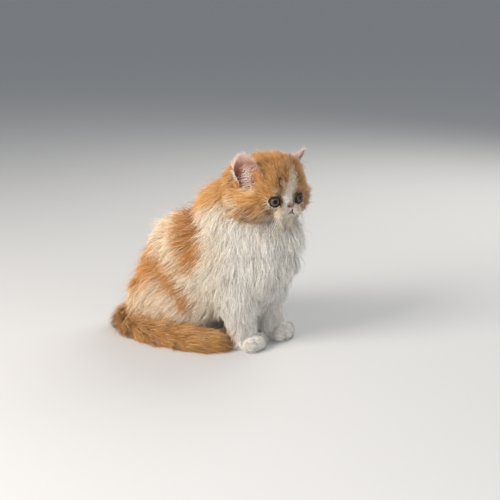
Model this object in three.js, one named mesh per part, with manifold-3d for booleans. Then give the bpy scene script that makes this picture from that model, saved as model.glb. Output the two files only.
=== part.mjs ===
// A Persian kitten sitting upright, its head turned to its right and its tail laid along its right side.
// Millimetres, +Z up. +X is the way the body faces and +Y is the kitten's left side.
// The origin is on the floor, under the middle of the model.
import * as THREE from "three";
import { mergeVertices } from "three/addons/utils/BufferGeometryUtils.js";
import Module from "manifold-3d";

const wasm = await Module();
wasm.setup();

const V = (x, y, z) => new THREE.Vector3(x, y, z);

// Driving dimensions
const gap = 0.35; // what a neighbour is grown by before it is cut out of a piece
const pushPasses = 40; // rounds of pushing a vertex clear of its faces
const longestPush = 3; // the most that a sharp corner is pushed
const headCentre = V(66, -3, 164.5);
const headTurn = THREE.MathUtils.degToRad(-24); // towards the kitten's right
const skullHalf = V(37, 40.5, 33.5); // half length, width and height with the short coat
const eyeRadius = 8.5;
const eyeBall = V(28, 13, -8.2); // centre of the left eyeball, in the head's own frame
const eyeSplay = THREE.MathUtils.degToRad(16); // how far each eye looks outwards
const lidThickness = 1.3;
const lidOpening = V(7.2, 6.4, 0); // half width and half height of the opening between the lids
const noseTip = V(41.6, 0, -12.3);
const noseHalf = V(2.6, 4.3, 3.0);
const padCentre = V(33.5, 5.6, -19.2);
const padHalf = V(9.2, 7.2, 6.2);
const chinCentre = V(30.5, 0, -27);
const chinHalf = V(9, 8.2, 6);
const mouthGroove = 0.8; // radius of the line cut between the lips
const earWidth = 30;
const earWall = 2.2; // thickness of the shell round the cup
const frontStance = 21.5; // half the distance between the front legs
const pawHalf = V(19, 14.5, 11);
const tailHalf = V(12, 13.5, 0); // half width and half height of the tail with its coat
const tipLift = 2.5; // how far a lock's tip stands free of the coat's outside

// How far the tips of the coat stand out from the skin side of each node's core
const coatDepth = { neck: 18, torso: 18, haunch: 14, leg: 7, tail: 9, cheek: 9 };

// Geometry with only positions, its shared vertices merged
function bare(geometry) {
  geometry.deleteAttribute("normal");
  geometry.deleteAttribute("uv");
  return mergeVertices(geometry, 1e-4);
}

function solidOf(geometry) {
  return new wasm.Manifold(
    new wasm.Mesh({
      numProp: 3,
      vertProperties: new Float32Array(geometry.attributes.position.array),
      triVerts: new Uint32Array(geometry.index.array),
    }),
  );
}

// The same closed shape, each vertex pushed until all the faces round it are clear by a distance
function grown(geometry, distance) {
  const wide = geometry.clone();
  const position = wide.attributes.position;
  const index = wide.index;
  const around = Array.from({ length: position.count }, () => []);
  const corners = [V(), V(), V()];
  const face = new THREE.Triangle(...corners);
  for (let i = 0; i < index.count; i += 3) {
    corners.forEach((corner, k) => corner.fromBufferAttribute(position, index.getX(i + k)));
    const normal = face.getNormal(V());
    for (let k = 0; k < 3; k++) around[index.getX(i + k)].push(normal);
  }
  around.forEach((normals, i) => {
    const push = V();
    for (let pass = 0; pass < pushPasses; pass++)
      for (const normal of normals) push.addScaledVector(normal, Math.max(0, distance - push.dot(normal)));
    push.clampLength(0, longestPush).add(V().fromBufferAttribute(position, i));
    position.setXYZ(i, push.x, push.y, push.z);
  });
  return wide;
}

const joined = (pieces) => wasm.Manifold.union(pieces.map(solidOf));
const clearance = (pieces) => joined(pieces.map((piece) => grown(piece, gap)));

// Moves every vertex of a geometry by a function of its place
function shaped(geometry, move) {
  const position = geometry.attributes.position;
  for (let i = 0; i < position.count; i++) {
    const moved = move(V().fromBufferAttribute(position, i));
    position.setXYZ(i, moved.x, moved.y, moved.z);
  }
  return geometry;
}

// A sphere with its poles up and down, stretched to half sizes
function ball(half, centre, sides = 16, rings = 10) {
  const geometry = bare(new THREE.SphereGeometry(1, sides, rings).rotateX(Math.PI / 2));
  return geometry.scale(half.x, half.y, half.z).translate(centre.x, centre.y, centre.z);
}

// A smooth body swept through elliptical stations: [x, y, z, half size a, half size b].
// Level stations are stacked in height, with a along the way that yaw points and b across it.
// Others follow their own path, with a across it and b upwards.
class Form {
  constructor(stations, { level = false, yaw = 0, axes = null, ends = 0.16 } = {}) {
    this.centres = new THREE.CatmullRomCurve3(stations.map(([x, y, z]) => V(x, y, z)));
    this.sizes = new THREE.CatmullRomCurve3(stations.map(([, , , a, b]) => V(a, b, 0)));
    this.ends = ends;
    this.fixed = axes;
    if (level) this.fixed = [V(Math.cos(yaw), Math.sin(yaw), 0), V(-Math.sin(yaw), Math.cos(yaw), 0)];
  }

  axesAt(t) {
    if (this.fixed) return this.fixed;
    const along = this.centres.getTangent(t);
    const side = V(0, 0, 1).cross(along).normalize();
    return [side, along.clone().cross(side)];
  }

  // The point of the surface, sunk by an inset, at a share t of the way along and an angle round it.
  // A length cut out of the whole runs from one share to another and has its own round ends.
  at(t, angle, inset = 0, from = 0, to = 1) {
    const share = Math.min(1, Math.min(t - from, to - t) / this.ends);
    const round = Math.sqrt(Math.max(0, 1 - (1 - share) ** 2));
    const [a, b] = this.axesAt(t);
    const size = this.sizes.getPoint(t);
    return this.centres
      .getPoint(t)
      .addScaledVector(a, round * (size.x - inset) * Math.cos(angle))
      .addScaledVector(b, round * (size.y - inset) * Math.sin(angle));
  }

  // The way out of the surface
  normal(t, angle) {
    const step = 0.01;
    const along = this.at(t + step, angle).sub(this.at(t - step, angle));
    const around = this.at(t, angle + step).sub(this.at(t, angle - step));
    const out = around.cross(along).normalize();
    return out.dot(this.at(t, angle).sub(this.centres.getPoint(t))) < 0 ? out.negate() : out;
  }

  // A net of places all over the surface
  places(along, around) {
    const net = [];
    for (let i = 1; i < along; i++)
      for (let k = 0; k < around; k++) net.push(this.at(i / along, (2 * Math.PI * k) / around));
    return net;
  }

  geometry(sides, rings, inset = 0, from = 0, to = 1) {
    const sphere = new THREE.SphereGeometry(1, sides, rings);
    const uv = sphere.attributes.uv;
    const position = sphere.attributes.position;
    for (let i = 0; i < position.count; i++) {
      const share = 0.5 * (1 - Math.cos(Math.PI * (1 - uv.getY(i))));
      const place = this.at(from + share * (to - from), 2 * Math.PI * (uv.getX(i) % 1), inset, from, to);
      position.setXYZ(i, place.x, place.y, place.z);
    }
    return outward(bare(sphere));
  }
}

// Numbers from 0 to 1 that come out the same on every run
function seeded(seed) {
  let state = seed;
  return () => {
    state = (state * 1664525 + 1013904223) % 4294967296;
    return state / 4294967296;
  };
}

// A flat, tapered lock: a three-sided cone bent from its root, sunk in the core, out to its tip
function lock(root, out, tip, { width, thick, rise }) {
  const flat = tip.clone().sub(root);
  const across = flat.clone().cross(out).normalize();
  const spine = new THREE.QuadraticBezierCurve3(
    root.clone().addScaledVector(out, -0.3 * rise - 1.5).addScaledVector(flat, -0.12),
    root.clone().addScaledVector(out, rise).addScaledVector(flat, 0.35),
    tip,
  );
  const cone = bare(new THREE.ConeGeometry(1, 1, 3, 3));
  return outward(
    shaped(cone, (corner) => {
      const t = corner.y + 0.5;
      const full = t < 1 ? 1 / (1 - t) : 0;
      const taper = (0.8 + 0.75 * t) * (1 - t * t);
      return spine
        .getPoint(t)
        .addScaledVector(across, corner.x * full * taper * width * 0.55)
        .addScaledVector(out, corner.z * full * taper * thick * 0.65);
    }),
  );
}

// The tip of a lock of a given length: it follows the lie over the coat and lands on the coat's outside
function landing(outside, root, out, lie, { length, rise }) {
  const run = lie.clone().addScaledVector(out, -lie.dot(out)).setLength(length);
  const aim = root.clone().addScaledVector(out, rise).add(run);
  const nearer = (best, place) => (place.distanceToSquared(aim) < best.distanceToSquared(aim) ? place : best);
  return outside.reduce(nearer).clone().addScaledVector(out, tipLift);
}

// Tiers of locks round a form. Each row is [share of the way along, number of locks].
// lieAt gives the lie of the coat at a place, and bald places are left out.
function coat(form, rows, size, lieAt, { inset, seed, bald = () => false }) {
  const random = seeded(seed);
  const outside = form.places(48, 48);
  const locks = [];
  rows.forEach(([t, count], row) => {
    for (let i = 0; i < count; i++) {
      const angle = (2 * Math.PI * (i + 0.5 * (row % 2) + 0.3 * (random() - 0.5))) / count;
      const root = form.at(t, angle, inset);
      const out = form.normal(t, angle);
      const vary = 0.85 + 0.3 * random();
      if (bald(root, out)) continue;
      const own = { ...size, length: size.length * vary, width: size.width * (1.1 - 0.2 * vary) };
      locks.push(lock(root, out, landing(outside, root, out, lieAt(root, out), own), own));
    }
  });
  return locks;
}

// The same closed surface with its faces pointing out
function outward(geometry) {
  if (signedVolume(geometry) > 0) return geometry;
  const index = geometry.index.array;
  for (let i = 0; i < index.length; i += 3) [index[i + 1], index[i + 2]] = [index[i + 2], index[i + 1]];
  return geometry;
}

function signedVolume(geometry) {
  const corner = (i) => V().fromBufferAttribute(geometry.attributes.position, geometry.index.array[i]);
  let six = 0;
  for (let i = 0; i < geometry.index.count; i += 3) six += corner(i).dot(corner(i + 1).cross(corner(i + 2)));
  return six;
}

// Everything on the head is made in its own frame, +X out of the face, and then set in place
const headPlace = new THREE.Matrix4()
  .makeRotationZ(headTurn)
  .setPosition(headCentre.x, headCentre.y, headCentre.z);
const onHead = (geometry) => geometry.clone().applyMatrix4(headPlace);
const mirrored = (point, side) => V(point.x, side * point.y, point.z);

// Swellings of the skull: [way out, height, spread]
const swellings = [
  [V(0.45, 0.72, -0.55), 4.5, 0.36], // cheeks
  [V(0.45, -0.72, -0.55), 4.5, 0.36],
  [V(0.84, 0.46, -0.3), 2.4, 0.24], // round the eyes
  [V(0.84, -0.46, -0.3), 2.4, 0.24],
  [V(0.82, 0, -0.57), 4, 0.24], // behind the muzzle
  [V(0.8, 0, 0.6), 1.5, 0.35], // forehead
  [V(0.97, 0, -0.05), -1.4, 0.16], // the dip above the nose
];

function skullAt(way) {
  const place = way.clone().multiply(skullHalf);
  for (const [at, height, width] of swellings) {
    const share = Math.exp(-way.distanceToSquared(at) / (2 * width * width));
    place.addScaledVector(way, height * share);
  }
  return place;
}

const skull = () => shaped(bare(new THREE.SphereGeometry(1, 24, 16).rotateX(Math.PI / 2)), skullAt);

// The way out of the skull at a bearing from the face, in degrees, and a height
function skullWay(bearing, height) {
  const angle = THREE.MathUtils.degToRad(bearing);
  const level = Math.sqrt(1 - height * height);
  return V(level * Math.cos(angle), level * Math.sin(angle), height);
}

const outOfSkull = (way) => way.clone().divide(skullHalf).normalize();

// Locks of the cheeks, the nape and the jaw, in the head's own frame.
// Each row is [height of the way out, first and last bearing from the face, number a side].
function headLocks() {
  const random = seeded(7);
  const rows = [
    [0.1, 106, 180, 2],
    [-0.28, 66, 160, 3],
    [-0.6, 40, 140, 4],
    [-0.87, 20, 80, 1],
  ];
  const size = { length: 30, width: 24, thick: 5, rise: coatDepth.cheek };
  const outside = [];
  for (let height = -0.96; height < 0.6; height += 0.06)
    for (let bearing = 0; bearing < 360; bearing += 7.5) {
      const way = skullWay(bearing, height);
      outside.push(skullAt(way).addScaledVector(outOfSkull(way), size.rise));
    }
  const locks = [];
  for (const side of [1, -1]) {
    for (const [height, first, last, count] of rows) {
      for (let i = 0; i < count; i++) {
        const share = (i + 0.5 + 0.2 * (random() - 0.5)) / count;
        const way = skullWay(side * (first + share * (last - first)), height);
        const root = skullAt(way);
        const out = outOfSkull(way);
        const own = { ...size, length: size.length * (0.85 + 0.3 * random()) };
        locks.push(lock(root, out, landing(outside, root, out, V(-0.7, side * 0.15, -0.7), own), own));
      }
    }
  }
  return locks;
}

// The ball that the lids are cut from, and the opening between them
function lids(side) {
  const centre = mirrored(eyeBall, side);
  const outer = eyeRadius + gap + lidThickness;
  const opening = bare(new THREE.SphereGeometry(1, 14, 6))
    .scale(eyeRadius * 1.6, lidOpening.x, lidOpening.y)
    .translate(eyeRadius * 1.3, 0, 0)
    .rotateZ(side * eyeSplay)
    .translate(centre.x, centre.y, centre.z);
  return { ball: ball(V(outer, outer, outer), centre, 14, 10), opening };
}

function mouthLine() {
  const lip = (side) => [
    V(42.6, 0, -21),
    V(42.2, side * 2.6, -22.6),
    V(40, side * 6, -24.2),
    V(35.5, side * 10.5, -24.6),
    V(31, side * 13.5, -23.6),
  ];
  const philtrum = [V(44.5, 0, -13.5), V(43.8, 0, -17), V(43.2, 0, -19.5), V(42.2, 0, -22.4)];
  const circle = new THREE.Shape().absarc(0, 0, mouthGroove, 0, 2 * Math.PI);
  return [lip(1), lip(-1), philtrum].map((points) => {
    const extrudePath = new THREE.CatmullRomCurve3(points);
    return outward(bare(new THREE.ExtrudeGeometry(circle, { steps: 4, curveSegments: 1, extrudePath })));
  });
}

function headForms() {
  const muzzle = [1, -1].map((side) => ball(padHalf, mirrored(padCentre, side), 12, 7));
  const chin = ball(chinHalf, chinCentre, 12, 8);
  const bridge = ball(V(6, 5.6, 6.5), V(34.2, 0, -11), 10, 7);
  return [skull(), ...muzzle, chin, bridge, ...headLocks()];
}

// The middle of each ear from its base to its tip. The left one leans out more.
const earPaths = {
  left: [V(11, 23, -4), V(11, 26, 8), V(11, 29.5, 21), V(15, 39, 36)],
  right: [V(14, -25, -4), V(14.5, -29.5, 8), V(14, -33.5, 21), V(15, -38, 37)],
};

function ear(path, side) {
  const open = V(0.8, side * 0.6, 0);
  const across = V(0.6, -side * 0.8, 0);
  const widths = [0.72, 1, 0.8, 0.26].map((share) => (share * earWidth) / 2);
  const depths = [6, 5.5, 4, 2.2];
  const form = (shift, less) =>
    new Form(
      path.map((p, i) => {
        const place = p.clone().addScaledVector(open, shift);
        const wide = Math.max(widths[i] - less, 0.5);
        const deep = Math.max(depths[i] - less * 0.6, 0.5);
        return [place.x, place.y, place.z, wide, deep];
      }),
      { axes: [across, open], ends: 0.2 },
    );
  const shell = form(0, 0).geometry(14, 8);
  const cup = form(3, earWall).geometry(12, 7);
  return { shell, cup };
}

// Body forms, out to the tips of the coat
const neckForm = new Form(
  [
    [44, -1, 88, 40, 34],
    [44, -1, 106, 62, 43],
    [45, -1, 124, 64, 44],
    [40, -2, 142, 53, 42],
    [46, -2, 160, 40, 37],
    [54, -3, 174, 28, 30],
  ],
  { level: true, ends: 0.1 },
);

// The coat lies back and down from the head, and straight down on the chest
function bodyLie(place) {
  const chest = THREE.MathUtils.smoothstep(place.x, 0, 70);
  return V(-0.75 + 0.85 * chest, 0, -0.75 - 0.25 * chest);
}

function neckPieces() {
  const inset = coatDepth.neck / 2;
  const size = { length: 38, width: 28, thick: 6, rise: inset };
  const rows = [
    [0.77, 6],
    [0.56, 10],
    [0.34, 10],
  ];
  const underHead = (root) => root.z > 128 && root.x > 62;
  const locks = coat(neckForm, rows, size, bodyLie, { inset, seed: 11, bald: underHead });
  return [neckForm.geometry(18, 9, inset), ...locks];
}

const torsoForm = new Form(
  [
    [-44, -4, -14, 36, 30],
    [-42, -4, 14, 52, 40],
    [-18, -4, 38, 77, 43],
    [1, -3, 60, 86, 45],
    [15, -2, 84, 90, 46],
    [22, -2, 108, 80, 44],
    [26, -2, 132, 46, 36],
  ],
  { level: true, ends: 0.1 },
);

function torsoPieces() {
  const inset = coatDepth.torso / 2;
  const size = { length: 44, width: 33, thick: 6.5, rise: inset };
  const rows = [
    [0.81, 12],
    [0.66, 12],
    [0.51, 12],
    [0.36, 10],
  ];
  const behindHaunch = (root) => root.z < 62 && Math.abs(root.y + 4) > 24 && root.x < 12;
  const behindFrontLeg = (root) => root.z < 60 && root.x > 12;
  const covered = (root, out) => out.z < -0.62 || behindHaunch(root) || behindFrontLeg(root);
  const locks = coat(torsoForm, rows, size, bodyLie, { inset, seed: 23, bald: covered });
  return [torsoForm.geometry(24, 13, inset), ...locks];
}

const frontLegForm = (side) =>
  new Form(
    [
      [42 + 4 * side, 2 + 22 * side, 78, 27, 21],
      [47 + 4 * side, 2 + 22 * side, 54, 25, 20],
      [51 + 4 * side, 2 + frontStance * side, 32, 18, 18],
      [53 + 4 * side, 2 + frontStance * side, 10, 16, 16],
      [53 + 4 * side, 2 + frontStance * side, 2, 11, 11],
    ],
    { level: true, ends: 0.1 },
  );

function frontLegPieces(side) {
  const inset = coatDepth.leg / 2;
  const size = { length: 26, width: 20, thick: 4, rise: inset };
  const rows = [
    [0.34, 5],
    [0.56, 5],
  ];
  const form = frontLegForm(side);
  const inner = (root, out) => out.y * side < -0.5;
  const locks = coat(form, rows, size, () => V(-0.25, 0, -1), { inset, seed: 31, bald: inner });
  return [form.geometry(12, 8, inset), ...locks];
}

const frontPaw = (side) => V(58 + 4 * side, 2 + frontStance * side, 7);

function pawPieces(centre, half, yaw) {
  const toes = [-1.5, -0.5, 0.5, 1.5].map((slot) => {
    const out = Math.abs(slot) > 1 ? 0.55 : 0.72;
    const place = V(half.x * out, (slot * half.y) / 1.9, -1);
    return ball(V(half.x * 0.36, half.y * 0.3, half.z * 0.72), place, 7, 5);
  });
  const pieces = [ball(half, V(0, 0, 0), 10, 7), ...toes];
  return pieces.map((piece) => piece.rotateZ(yaw).translate(centre.x, centre.y, centre.z));
}

const haunchForm = (side) =>
  new Form(
    [
      [-38, -4 + 24 * side, -6, 36, 12],
      [-37, -4 + 25 * side, 12, 44, 17],
      [-35, -4 + 27 * side, 34, 48, 20],
      [-38, -4 + 25 * side, 56, 41, 18],
      [-42, -4 + 20 * side, 74, 26, 12],
    ],
    { level: true, ends: 0.12 },
  );

function haunchPieces(side) {
  const inset = coatDepth.haunch / 2;
  const size = { length: 32, width: 24, thick: 6, rise: inset };
  const rows = [
    [0.78, 6],
    [0.6, 8],
    [0.42, 9],
  ];
  const form = haunchForm(side);
  const inner = (root, out) => out.y * side < 0.1;
  const locks = coat(form, rows, size, () => V(-0.5, 0, -0.85), { inset, seed: 43, bald: inner });
  return [form.geometry(16, 8, inset), ...locks];
}

const hindFootForm = (side) =>
  new Form(
    [
      [-24, -2 + 24 * side, 8, 8, 8],
      [-8, -2 + 25 * side, 8, 9.5, 8.5],
      [10, -2 + 25 * side, 7.5, 10.5, 8],
      [27, -2 + 25 * side, 7, 10, 7.5],
    ],
    { ends: 0.14 },
  );

const tailForm = new Form(
  [
    [-74, -4, 18, 12, 13],
    [-90, -10, 11, tailHalf.x, tailHalf.y],
    [-87, -31, 8.5, tailHalf.x, tailHalf.y],
    [-64, -44.5, 8.5, tailHalf.x, tailHalf.y],
    [-38, -49.5, 8.5, tailHalf.x, tailHalf.y],
    [-10, -51, 8.5, tailHalf.x, tailHalf.y],
    [14, -48.5, 8, 11.5, 13],
    [34, -40, 6.5, 9, 10.5],
  ],
  { ends: 0.08 },
);

// The tail in three lengths, each with its locks lying towards the tip
function tailPieces(from, to, rows, seed) {
  const inset = coatDepth.tail / 2;
  const size = { length: 30, width: 17, thick: 5, rise: inset };
  const away = (t, root) => tailForm.centres.getPoint(t).distanceTo(root);
  const along = (root) => {
    let best = 0;
    for (let t = 0; t <= 1; t += 0.02) if (away(t, root) < away(best, root)) best = t;
    return tailForm.centres.getTangent(best);
  };
  const under = (root, out) => out.z < -0.35;
  const locks = coat(tailForm, rows, size, along, { inset, seed, bald: under });
  return [tailForm.geometry(9, 8, inset, from, to), ...locks];
}

// Cutting blocks
const floor = solidOf(bare(new THREE.BoxGeometry(600, 600, 100).translate(0, 0, -50)));

function largest(solid) {
  return solid.decompose().reduce((best, one) => (one.volume() > best.volume() ? one : best));
}

function meshOf(solid, name, material) {
  const { vertProperties, triVerts, numProp } = solid.getMesh();
  const position = new Float32Array((vertProperties.length / numProp) * 3);
  for (let i = 0; i * numProp < vertProperties.length; i++)
    position.set(vertProperties.subarray(i * numProp, i * numProp + 3), i * 3);
  const geometry = new THREE.BufferGeometry();
  geometry.setAttribute("position", new THREE.BufferAttribute(position, 3));
  geometry.setIndex(new THREE.BufferAttribute(new Uint32Array(triVerts), 1));
  geometry.computeVertexNormals();
  const mesh = new THREE.Mesh(geometry, material);
  mesh.name = name;
  return mesh;
}

// Materials
const finish = (color, roughness, metalness = 0) =>
  new THREE.MeshStandardMaterial({ color, roughness, metalness });
const orangeCoat = finish("#c98a4a", 0.9);
const whiteCoat = finish("#e6dfd3", 0.9);
const noseSkin = finish("#b0706a", 0.5);
const eyeGlass = finish("#3c3833", 0.1);

// Nodes are made from the top layer down, and each is cut clear of the ones before it
const kitten = new THREE.Group();
const taken = [];

function addNode(name, pieces, material, cuts = [], clearOf = taken) {
  let solid = joined(pieces).subtract(floor);
  for (const cut of cuts) solid = solid.subtract(cut);
  for (const other of clearOf) solid = solid.subtract(other);
  kitten.add(meshOf(largest(solid), name, material));
  taken.push(clearance(pieces));
}

const sides = { left: 1, right: -1 };

for (const [name, side] of Object.entries(sides)) {
  const centre = mirrored(eyeBall, side);
  addNode(`eye_${name}`, [onHead(ball(V(eyeRadius, eyeRadius, eyeRadius), centre, 14, 10))], eyeGlass);
}

const nostrils = [1, -1].map((side) =>
  solidOf(onHead(ball(V(1.6, 0.9, 0.7), V(noseTip.x + 2, side * 2.1, noseTip.z - 0.4), 6, 4))),
);
addNode("nose", [onHead(ball(noseHalf, noseTip, 10, 7))], noseSkin, nostrils);

const lidParts = [lids(1), lids(-1)];
const headPieces = [...headForms(), ...lidParts.map((lid) => lid.ball)].map(onHead);
const ears = { left: ear(earPaths.left, 1), right: ear(earPaths.right, -1) };
const earCups = { left: solidOf(onHead(ears.left.cup)), right: solidOf(onHead(ears.right.cup)) };
const faceCuts = [...lidParts.map((lid) => lid.opening), ...mouthLine()].map(onHead).map(solidOf);
addNode("head", headPieces, orangeCoat, [...faceCuts, earCups.left, earCups.right]);

for (const name of Object.keys(sides))
  addNode(`ear_${name}`, [onHead(ears[name].shell)], orangeCoat, [earCups[name]]);

addNode("neck", neckPieces(), whiteCoat);
addNode("torso", torsoPieces(), whiteCoat);

for (const [name, side] of Object.entries(sides)) {
  addNode(`hind_leg_${name}`, haunchPieces(side), orangeCoat);
  addNode(`hind_foot_${name}`, [hindFootForm(side).geometry(10, 7)], whiteCoat);
  addNode(`front_paw_${name}`, pawPieces(frontPaw(side), pawHalf, 0), whiteCoat);
  addNode(`front_leg_${name}`, frontLegPieces(side), whiteCoat);
}

addNode("tail_root", tailPieces(0, 0.46, [[0.2, 5], [0.36, 5]], 51), orangeCoat);
addNode("tail_middle", tailPieces(0.38, 0.76, [[0.48, 5], [0.62, 5]], 53), orangeCoat);
addNode("tail_end", tailPieces(0.68, 1, [[0.76, 5], [0.88, 5]], 57), orangeCoat);

// The origin goes under the middle of the box round the model
const box = new THREE.Box3().setFromObject(kitten);
const middle = box.getCenter(V());
kitten.position.set(-middle.x, -middle.y, -box.min.z);

export default kitten;
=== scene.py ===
import math

import bmesh
import bpy
import numpy as np
from mathutils import Matrix, Vector
from mathutils.bvhtree import BVHTree
from mathutils.kdtree import KDTree


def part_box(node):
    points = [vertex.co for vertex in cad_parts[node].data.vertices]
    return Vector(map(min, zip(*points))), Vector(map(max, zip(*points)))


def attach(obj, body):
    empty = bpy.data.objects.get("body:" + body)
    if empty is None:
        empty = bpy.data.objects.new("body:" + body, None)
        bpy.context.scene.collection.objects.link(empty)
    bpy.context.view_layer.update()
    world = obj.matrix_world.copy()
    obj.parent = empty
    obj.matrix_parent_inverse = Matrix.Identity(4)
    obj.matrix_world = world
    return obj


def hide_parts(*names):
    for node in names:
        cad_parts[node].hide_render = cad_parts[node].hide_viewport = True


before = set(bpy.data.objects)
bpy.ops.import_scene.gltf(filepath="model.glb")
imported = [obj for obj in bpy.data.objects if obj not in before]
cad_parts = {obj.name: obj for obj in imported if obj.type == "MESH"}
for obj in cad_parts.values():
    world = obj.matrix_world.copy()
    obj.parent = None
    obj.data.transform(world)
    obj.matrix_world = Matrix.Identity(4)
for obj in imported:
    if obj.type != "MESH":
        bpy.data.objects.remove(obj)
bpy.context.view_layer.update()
scene = bpy.context.scene
random = np.random.default_rng(5)
print("frame loaded")

# The kitten is shaped in millimetres: +X the way its body faces, +Y its left side, the floor at 0.
# The head has its own place: +X out of its face.
head = {
    "centre": (66, -3, 164.5),
    "turn": math.radians(-24),  # towards its right
    "skullHalf": (37, 40.5, 33.5),
    "eyeRadius": 8.5,
    "eyeBall": (28, 13, -8.2),
    "eyeSplay": math.radians(16),
    "noseTip": (41.6, 0, -12.3),
    "padCentre": (33.5, 5.6, -19.2),
    "padHalf": (8.6, 7.2, 5.8),
    "chinCentre": (30, 0, -26),
    "chinHalf": (7.4, 7.2, 4.6),
    "shortCoat": 2.6,  # how deep the skin lies under the coat of the skull
}
headPlace = Matrix.Translation(head["centre"]) @ Matrix.Rotation(head["turn"], 4, "Z")
betweenEyes = headPlace @ Vector((head["eyeBall"][0], 0, head["eyeBall"][2]))
packedEyes = [(low + high) / 2 for low, high in (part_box("eye_left"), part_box("eye_right"))]
packedMiddle = Matrix.Translation((packedEyes[0] + packedEyes[1]) / 2)
bodyPlace = packedMiddle @ Matrix.Scale(0.001, 4) @ Matrix.Translation(-betweenEyes)
skullHalf = np.array(head["skullHalf"])
bothSides = ((1, "left"), (-1, "right"))


def linear(hexColour):
    # sRGB hex to the linear colour that the nodes and attributes take
    parts = [int(hexColour[i : i + 2], 16) / 255 for i in (1, 3, 5)]
    return [c / 12.92 if c <= 0.04045 else ((c + 0.055) / 1.055) ** 2.4 for c in parts] + [1.0]


def addNode(tree, kind, settings=None, inputs=None):
    # one node, its settings, and its inputs as values or as sockets to link from
    node = tree.nodes.new(kind)
    for name, value in (settings or {}).items():
        setattr(node, name, value)
    for name, value in (inputs or {}).items():
        if isinstance(value, bpy.types.NodeSocket):
            tree.links.new(value, node.inputs[name])
        else:
            node.inputs[name].default_value = value
    return node


def newMaterial(name):
    material = bpy.data.materials.new(name)
    material.use_nodes = True
    tree = material.node_tree
    tree.nodes.clear()
    return material, tree, addNode(tree, "ShaderNodeTexCoord").outputs["Object"]


def addNoise(tree, where, scale, detail):
    return addNode(tree, "ShaderNodeTexNoise", inputs={"Vector": where, "Scale": scale, "Detail": detail})


def addMix(tree, share, colours):
    mixed = addNode(tree, "ShaderNodeMix", {"data_type": "RGBA"}, {
        0: share.outputs["Fac"], 6: linear(colours[0]), 7: linear(colours[1])})
    return mixed.outputs[2]


def addSurface(tree, inputs):
    surface = addNode(tree, "ShaderNodeBsdfPrincipled", inputs=inputs)
    addNode(tree, "ShaderNodeOutputMaterial", inputs={"Surface": surface.outputs["BSDF"]})


def smoothStep(value, low, high):
    share = np.clip((value - low) / (high - low), 0, 1)
    return share * share * (3 - 2 * share)


def fade(value, low, high):
    return 1 - smoothStep(value, low, high)


def unit(vectors):
    return vectors / np.maximum(np.linalg.norm(vectors, axis=-1, keepdims=True), 1e-9)


def tangent(vectors, normals):
    return unit(vectors - normals * (vectors * normals).sum(-1, keepdims=True))


def turnedBy(vectors, matrix):
    return vectors @ np.array(matrix)[:3, :3].T


def placedBy(points, matrix):
    return turnedBy(points, matrix) + np.array(matrix)[:3, 3]


def toHead(points):
    return placedBy(points, headPlace.inverted())


def fromHead(vectors):
    return turnedBy(vectors, headPlace)


def gaps(points, line):
    # how far each point is from each point of a line
    return np.sqrt(((points[:, None, :] - line) ** 2).sum(-1))


def readValues(items, name, width, kind=float):
    # one property of all the parts of a mesh, a row for each
    values = np.zeros(len(items) * width, kind)
    items.foreach_get(name, values)
    return values.reshape(-1, width)


def addObject(name, data):
    obj = bpy.data.objects.new(name, data)
    scene.collection.objects.link(obj)
    return obj


def finishPiece(obj, slotName, *nodes):
    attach(obj, "root")
    if nodes:
        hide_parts(*nodes)


def meshObject(name, bm, material):
    # a piece made in kitten millimetres, set in the frame
    mesh = bpy.data.meshes.new(name)
    bm.to_mesh(mesh)
    bm.free()
    mesh.transform(bodyPlace)
    mesh.shade_smooth()
    mesh.materials.append(material)
    return addObject(name, mesh)


# Body forms out to the tips of the coat: rows of [x, y, z, half size, half size]
def bodyForm(stations, inset, level=True, ends=0.1, lie=(-0.75, 0, -0.75), fur=(24, 40, -14), density=1.0):
    # inset is how deep the skin lies, fur is the length of the coat and its lift at the root and the tip
    return {"stations": stations, "inset": inset, "level": level, "ends": ends,
            "lie": lie, "fur": fur, "density": density}


forms = {
    "neck": bodyForm(
        [[44, -1, 88, 40, 34], [44, -1, 106, 62, 43], [45, -1, 124, 64, 44],
          [40, -2, 142, 53, 42], [46, -2, 160, 40, 37], [54, -3, 174, 28, 30]],
        inset=12, lie="body", fur=(25, 42, -14)),
    "torso": bodyForm(
        [[-44, -4, -14, 36, 30], [-42, -4, 14, 52, 40], [-18, -4, 38, 77, 43], [1, -3, 60, 86, 45],
         [15, -2, 84, 90, 46], [22, -2, 108, 80, 44], [26, -2, 132, 46, 36]],
        inset=11, lie="body", fur=(26, 42, -12)),
}
for side, sideName in bothSides:
    forms["haunch_" + sideName] = bodyForm(
        [[-38, -4 + 24 * side, -6, 36, 12], [-37, -4 + 25 * side, 12, 44, 17],
         [-35, -4 + 27 * side, 34, 48, 20], [-38, -4 + 25 * side, 56, 41, 18],
         [-42, -4 + 20 * side, 74, 26, 12]],
        inset=8.5, ends=0.12, lie=(-0.5, 0, -0.85), fur=(23, 38, -14))
    forms["front_leg_" + sideName] = bodyForm(
        [[42 + 4 * side, 2 + 22 * side, 78, 27, 21], [47 + 4 * side, 2 + 22 * side, 54, 25, 20],
         [51 + 4 * side, 2 + 21.5 * side, 32, 18, 18], [53 + 4 * side, 2 + 21.5 * side, 10, 16, 16],
         [53 + 4 * side, 2 + 21.5 * side, 2, 11, 11]],
        inset=4.5, lie=(-0.15, 0.1 * side, -1), fur=(16, 34, -8))
    forms["hind_foot_" + sideName] = bodyForm(
        [[-24, -2 + 24 * side, 8, 8, 8], [-8, -2 + 25 * side, 8, 9.5, 8.5],
         [10, -2 + 25 * side, 7.5, 10.5, 8], [27, -2 + 25 * side, 7, 10, 7.5]],
        inset=1.4, level=False, ends=0.14, lie=(1, 0, -0.1), fur=(6, 28, 0))
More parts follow.
